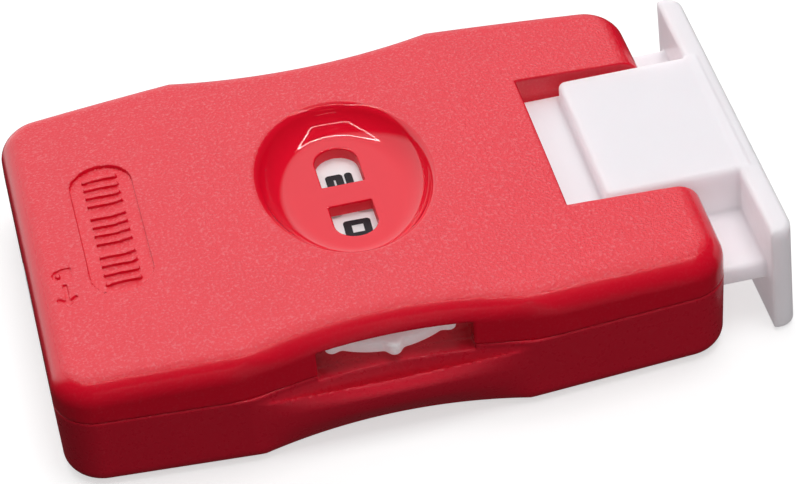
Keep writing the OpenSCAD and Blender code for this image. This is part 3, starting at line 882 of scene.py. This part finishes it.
def ramp(tree, value, low, high, to_low, to_high):
    """The value's range from low to high, spread over another range."""
    made = add(tree, "MapRange", {"Value": value, "From Min": low, "From Max": high,
                                  "To Min": to_low, "To Max": to_high})
    return made.outputs["Result"]


def noise(tree, where, scale, detail=2.0, rough=0.5):
    """Noise about 0.5, with its scale in waves per metre."""
    made = add(tree, "TexNoise", {"Vector": where, "Scale": scale, "Detail": detail, "Roughness": rough})
    return made.outputs["Fac"]


def bumped(tree, shader, height, strength, depth):
    """Links a bump of a height and a depth in metres to the shader."""
    bump = add(tree, "Bump", {"Height": height, "Strength": strength, "Distance": depth})
    tree.links.new(bump.outputs["Normal"], shader.inputs["Normal"])


def mottled(tree, shader, colour, where, share, painted_highlight=None):
    """Gives the base colour a slight large-scale variation and, if asked, pale spots that are painted highlights.
    """
    darker = tuple(c * (1 - share) for c in colour)
    mix = add(tree, "Mix", {"Factor": noise(tree, where, 180, 3)}, data_type="RGBA")
    mix.inputs["A"].default_value = (*darker, 1)
    mix.inputs["B"].default_value = (*colour, 1)
    result = mix.outputs["Result"]
    if painted_highlight:
        sparkle_mix = add(tree, "Mix", {"Factor": painted_highlight, "A": result}, data_type="RGBA")
        sparkle_mix.inputs["B"].default_value = (*SPARKLE_HIGHLIGHT_TINT, 1)
        result = sparkle_mix.outputs["Result"]
    tree.links.new(result, shader.inputs["Base Color"])


def outside_dish(tree, where):
    """0 inside the dish's oval and 1 outside it."""
    parts = add(tree, "SeparateXYZ", {0: where}).outputs
    u = maths(tree, "ADD", parts["X"], -MID_X * MM)
    v = maths(tree, "ADD", parts["Y"], -DISH_Y * MM)
    u = maths(tree, "MULTIPLY", u, 1 / (DISH_RX * MM))
    v = maths(tree, "MULTIPLY", v, 1 / (DISH_RY * MM))
    level = maths(tree, "MULTIPLY_ADD", v, v, maths(tree, "MULTIPLY", u, u))
    return ramp(tree, level, 0.98, 1.08, 0.0, 1.0)


def dish_finish(tree, where):
    """How textured the top shell is, and its roughness where it isn't textured.

    The dish is polished, except for the upright walls of its windows. The grain fades on the sides.
    """
    outside = outside_dish(tree, where)
    normal = add(tree, "NewGeometry").outputs["Normal"]
    lift = add(tree, "SeparateXYZ", {0: normal}).outputs["Z"]
    textured = maths(tree, "MULTIPLY", outside, ramp(tree, lift, 0.8, 0.97, 0.12, 1.0))
    window_wall = ramp(tree, maths(tree, "ADD", lift, outside), 0.12, 0.25, 0.55, 0.0)
    polish = ramp(tree, outside, 0.0, 1.0, 0.06, 0.17)
    return textured, maths(tree, "ADD", polish, window_wall)


def case_plastic(name, colour, specular, has_dish):
    """Red moulded plastic with a fine eroded grain, polished inside the dish, and pale painted highlights on the
    grain's tips.
    """
    made, tree, shader = new_material(name, colour, {"IOR": 1.55, "Specular IOR Level": specular})
    where = object_place(tree)
    grain = noise(tree, where, 3800, 2, 0.6)
    coarse = noise(tree, where, 1500, 2, 0.5)
    if has_dish:
        textured, smooth = dish_finish(tree, where)
    else:
        textured = ramp(tree, coarse, 0.3, 0.7, 0.08, 0.16)
        smooth = ramp(tree, coarse, 0.3, 0.7, 0.25, 0.29)
    spread = ramp(tree, coarse, 0.3, 0.7, 0.38, 0.48)
    rough = add(tree, "Mix", {"Factor": textured, "A": smooth, "B": spread}, data_type="FLOAT")
    tree.links.new(rough.outputs["Result"], shader.inputs["Roughness"])
    # painted highlight: pale spots on the grain's tips stand in for sparkles of light, strongest where the grain
    # is, which on the top shell means upward-facing faces
    painted_tip_highlights = maths(tree, "MULTIPLY", ramp(tree, grain, 0.5, 0.8, 0.0, 0.16), textured)
    mottled(tree, shader, colour, where, 0.06, painted_tip_highlights)
    bumped(tree, shader, maths(tree, "MULTIPLY_ADD", coarse, 0.5, grain), textured, 0.0001)
    return made


def smooth_plastic(name, colour, roughness, depth, painted_glow=0.0):
    """Translucent satin plastic: faint moulding waviness, light that scatters inside it, and a painted glow that
    lightens its shaded sides.
    """
    # the emission is painted light: a faint pinkish glow that lightens the shaded sides, where the red case would
    # bounce light onto them
    made, tree, shader = new_material(name, colour, {
        "IOR": 1.5, "Subsurface Weight": 1.0, "Subsurface Radius": (1.0, 0.85, 0.87),
        "Subsurface Scale": 4 * MM, "Emission Color": (1.0, 0.93, 0.96, 1),
        "Emission Strength": painted_glow})
    where = object_place(tree)
    mottled(tree, shader, colour, where, 0.03)
    rough = ramp(tree, noise(tree, where, 600, 4), 0.3, 0.7, roughness - 0.05, roughness + 0.06)
    tree.links.new(rough, shader.inputs["Roughness"])
    bumped(tree, shader, noise(tree, where, 2200, 3), 0.25, depth)
    return made


def drawn_steel(name, colour):
    """Bright steel with fine lines along its length."""
    made, tree, shader = new_material(name, colour, {"Metallic": 1.0})
    where = object_place(tree)
    mottled(tree, shader, colour, where, 0.12)
    lines = add(tree, "Mapping", {"Vector": where, "Scale": (300, 4000, 4000)})
    streaks = noise(tree, lines.outputs["Vector"], 1.0, 3)
    tree.links.new(ramp(tree, streaks, 0.3, 0.7, 0.18, 0.38), shader.inputs["Roughness"])
    bumped(tree, shader, streaks, 0.3, 0.000008)
    return made


def printed_ink(name, colour):
    """Matt ink with a slightly uneven sheen."""
    made, tree, shader = new_material(name, colour, {"IOR": 1.35})
    where = object_place(tree)
    mottled(tree, shader, colour, where, 0.3)
    rough = ramp(tree, noise(tree, where, 3000, 2), 0.3, 0.7, 0.4, 0.6)
    tree.links.new(rough, shader.inputs["Roughness"])
    return made


MATERIALS = {
    "upper_red": case_plastic("upper_red", (0.77, 0.004, 0.024), 0.5, True),
    # the lower shell's red holds more green and blue than the upper's: its own red plus a painted sheen, standing
    # in for the reflection that its low specular level leaves out
    "lower_red": case_plastic("lower_red", (0.70, 0.012, 0.034), 0.3, False),
    # the button and the wheels glow a little, which is painted light that lightens their shaded sides; the
    # button's base colour is kept low to make room for it
    "button_white": smooth_plastic("button_white", (0.60, 0.58, 0.61), 0.36, 0.000006, 0.24),
    "wheel_white": smooth_plastic("wheel_white", (0.82, 0.78, 0.80), 0.34, 0.000004, 0.19),
    "mechanism_white": smooth_plastic("mechanism_white", (0.74, 0.73, 0.70), 0.45, 0.00001),
    "numeral_black": printed_ink("numeral_black", (0.008, 0.007, 0.012)),
    "steel": drawn_steel("steel", (0.62, 0.63, 0.66)),
}


def dress(piece, body, slot, material, *nodes):
    """Gives a piece its material and its body, and hides the CAD nodes it stands for; slot is not used."""
    piece.data.materials.clear()
    piece.data.materials.append(MATERIALS[material])
    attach(piece, body)
    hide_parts(*nodes)


# ---------- pieces ----------

lid = mesh_from_field("upper_shell", upper_case, (-END_X, -SHOULDER_HALF, LID_LOW_Z),
                      (END_X, SHOULDER_HALF, CROWN_Z), CASE_STEP)
dress(lid, "case", "case_red", "upper_red", "upper_case")

base = mesh_from_field("lower_shell", lower_case, (-END_X, -SHOULDER_HALF, 0),
                       (END_X, SHOULDER_HALF, SPLIT_Z), CASE_STEP)
dress(base, "case", "case_red", "lower_red", "lower_case")

button = mesh_from_field("thumb_button", push_button, (BUTTON_LOW[0], -BAR_HALF, BAR_FOOT_Z),
                         (BUTTON_HIGH[0], BAR_HALF, BUTTON_HIGH[2]), BUTTON_STEP)
dress(button, "button", "button_white", "button_white", "push_button")

for body, centre, shown, angle, facing in (("units", UNITS, 0, 88, 180), ("tens", TENS, 2, -90, 0)):
    disc = mesh_from_field(body + "_disc", wheel(centre), *box_mm(body + "_wheel"), DISC_STEP, 0.4)
    dress(disc, body, "wheel_white", "wheel_white", body + "_wheel")
    low, high = box_mm(body + "_numerals")
    ring = mesh_from_field(body + "_digits", numerals(centre, shown, angle, facing),
                           low - INK_MARGIN, high + INK_MARGIN, INK_STEP)
    dress(ring, body, "numeral_black", "numeral_black", body + "_numerals")

coil = wire("return_coil", coil_path(), WIRE_R)
dress(coil, "case", "steel", "steel", "return_spring")
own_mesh(coil)

first = mesh_from_field("case_screw_1", screw, (-SCREW_HEAD_R, -SCREW_HEAD_R, SCREW_LOW_Z),
                        (SCREW_HEAD_R, SCREW_HEAD_R, SCREW_TIP), SCREW_STEP, 0.5)
for number, (x, y) in enumerate((x, side * y) for x, y in SCREW_PLACES for side in (-1, 1)):
    piece = first if number == 0 else new_object("case_screw_" + str(number + 1), first.data)
    piece.location = (x * MM, y * MM, 0)
    dress(piece, "case", "steel", "steel", "case_screws")

lock = mesh_from_field("lock_button", lock_slider, LOCK_LOW, LOCK_HIGH, LOCK_STEP)
dress(lock, "lock", "button_white", "button_white", "lock_slider")

# every CAD node takes the look of its finish slot; the red one needs a name, as the two shells differ
SLOT_LOOK = {"case_red": "lower_red"}
for part in frame["record"]["subparts"]:
    cad = frame["nodes"][part["node"]]
    look = SLOT_LOOK.get(part["material_slot"], part["material_slot"])
    cad.data.materials.clear()
    cad.data.materials.append(MATERIALS[look])


# ---------- stage ----------

FLOOR_HALF = 0.8
FLOOR_GREY = (0.5, 0.5, 0.5)


def flat_square(name, half):
    """A square about the origin, at the height that the object stands on."""
    corners = np.array([(-half, -half, 0), (half, -half, 0), (half, half, 0), (-half, half, 0)])
    return new_object(name, new_mesh(name, corners, np.array([[0, 1, 2, 3]]), 4))


def floor_paint():
    """Near-white floor that glows a little, so that only a faint shadow shows on it."""
    made, tree, shader = new_material("floor_paint", FLOOR_GREY, {
        "Roughness": 0.8, "Emission Color": (1, 1, 1, 1), "Emission Strength": 0.6})
    mottled(tree, shader, FLOOR_GREY, object_place(tree), 0.01)
    return made


# the camera sees the floor and the shadow on it, but the floor sends no light back to the object
floor = flat_square("floor", FLOOR_HALF)
floor.data.materials.append(floor_paint())
floor.visible_diffuse = False
floor.visible_glossy = False
floor.visible_shadow = False


def standing(place, right, up, back):
    """The matrix of something at a place whose own axes point right, up and back."""
    return Matrix.Translation(place) @ Matrix((right, up, back)).transposed().to_4x4()


def area_light(name, place, along, outward, size, radiance):
    """A rectangular lamp: its first side lies along one direction, and its back faces outward."""
    light = bpy.data.lights.new(name, "AREA")
    light.shape = "RECTANGLE"
    light.size = size[0]
    light.size_y = size[1]
    light.energy = radiance * math.pi * size[0] * size[1]
    made = bpy.data.objects.new(name, light)
    made.matrix_world = standing(place, along, outward.cross(along), outward)
    bpy.context.scene.collection.objects.link(made)
    return made


def soft_lamp(name, place, size, radiance):
    """A lamp at a place in metres that shines at the origin, and is missing from reflections."""
    outward = Vector(place).normalized()
    along = Vector((0, 1, 0)).cross(outward).normalized()
    made = area_light(name, Vector(place), along, outward, size, radiance)
    made.visible_glossy = False


def strip_light(name, start, end, radiance):
    """A thin lamp between two points in metres, seen only in reflections."""
    start, end = Vector(start), Vector(end)
    middle = (start + end) / 2
    along = (end - start).normalized()
    outward = (middle - middle.dot(along) * along).normalized()
    size = ((end - start).length, STRIP_WIDTH)
    made = area_light(name + "_strip", middle, along, outward, size, radiance)
    made.visible_diffuse = False


soft_lamp("overhead_lamp", (0.05, 0, 0.5), (0.3, 0.3), 6.1)
soft_lamp("front_lamp", (0.1, -0.27, 0.46), (0.4, 0.2), 1.4)
soft_lamp("low_lamp", (0.06, -0.45, 0.02), (0.5, 0.12), 2.2)

# a bright frame above the object and a low line in front of it, for the dish's thin reflections
FRAME_HALF = 0.14
FRAME_BACK = (0.16, 0.30)
FRAME_FRONT = (-0.11, 0.30)
LOW_FRONT = (-0.40, 0.25)
STRIP_WIDTH = 0.006
for name, height, radiance in (
        ("back", FRAME_BACK, 44), ("front", FRAME_FRONT, 16), ("low_front", LOW_FRONT, 3)):
    strip_light(name, (-FRAME_HALF, *height), (FRAME_HALF, *height), radiance)
for name, x in (("left", -FRAME_HALF), ("right", FRAME_HALF)):
    strip_light(name, (x, *FRAME_FRONT), (x, *FRAME_BACK), 28)

PATCH_TURN = math.radians(20)
PATCH_RISE = math.radians(25)
PATCH_EDGE = math.radians(50)
PATCH_HEART = math.radians(42)


def studio_world():
    """A dim dome with one large bright patch behind the object, a little to the left."""
    world = bpy.data.worlds.new("studio")
    world.use_nodes = True
    tree = world.node_tree
    towards = add(tree, "TexCoord").outputs["Generated"]
    level = math.cos(PATCH_RISE)
    patch = Vector((-math.sin(PATCH_TURN) * level, math.cos(PATCH_TURN) * level, math.sin(PATCH_RISE)))
    facing = add(tree, "VectorMath", {0: towards, 1: patch}, operation="DOT_PRODUCT").outputs["Value"]
    strength = ramp(tree, facing, math.cos(PATCH_EDGE), math.cos(PATCH_HEART), 0.03, 1.2)
    tree.links.new(strength, tree.nodes["Background"].inputs["Strength"])
    tree.nodes["Background"].inputs["Color"].default_value = (1, 1, 1, 1)
    return world


bpy.context.scene.world = studio_world()
bpy.context.scene.view_settings.view_transform = "Standard"

# ---------- camera ----------

AZIMUTH = math.radians(-9.404)
ELEVATION = math.radians(40.865)
ROLL = math.radians(-5.342)
DISTANCE = 0.301673
TARGET = Vector((0.00483, 0.00419, 0))
LENS = 145.02
SENSOR = 36


def photo_camera():
    """A camera that looks at the target from where the photo was taken."""
    back = Vector((math.sin(AZIMUTH) * math.cos(ELEVATION), -math.cos(AZIMUTH) * math.cos(ELEVATION),
                   math.sin(ELEVATION)))
    right = (-back).cross(Vector((0, 0, 1))).normalized()
    up = right.cross(-back)
    tilted_right = math.cos(ROLL) * right + math.sin(ROLL) * up
    tilted_up = math.cos(ROLL) * up - math.sin(ROLL) * right
    optics = bpy.data.cameras.new("camera")
    optics.lens = LENS
    optics.sensor_width = SENSOR
    made = bpy.data.objects.new("camera", optics)
    made.matrix_world = standing(TARGET + DISTANCE * back, tilted_right, tilted_up, back)
    bpy.context.scene.collection.objects.link(made)
    return made


bpy.context.scene.camera = photo_camera()
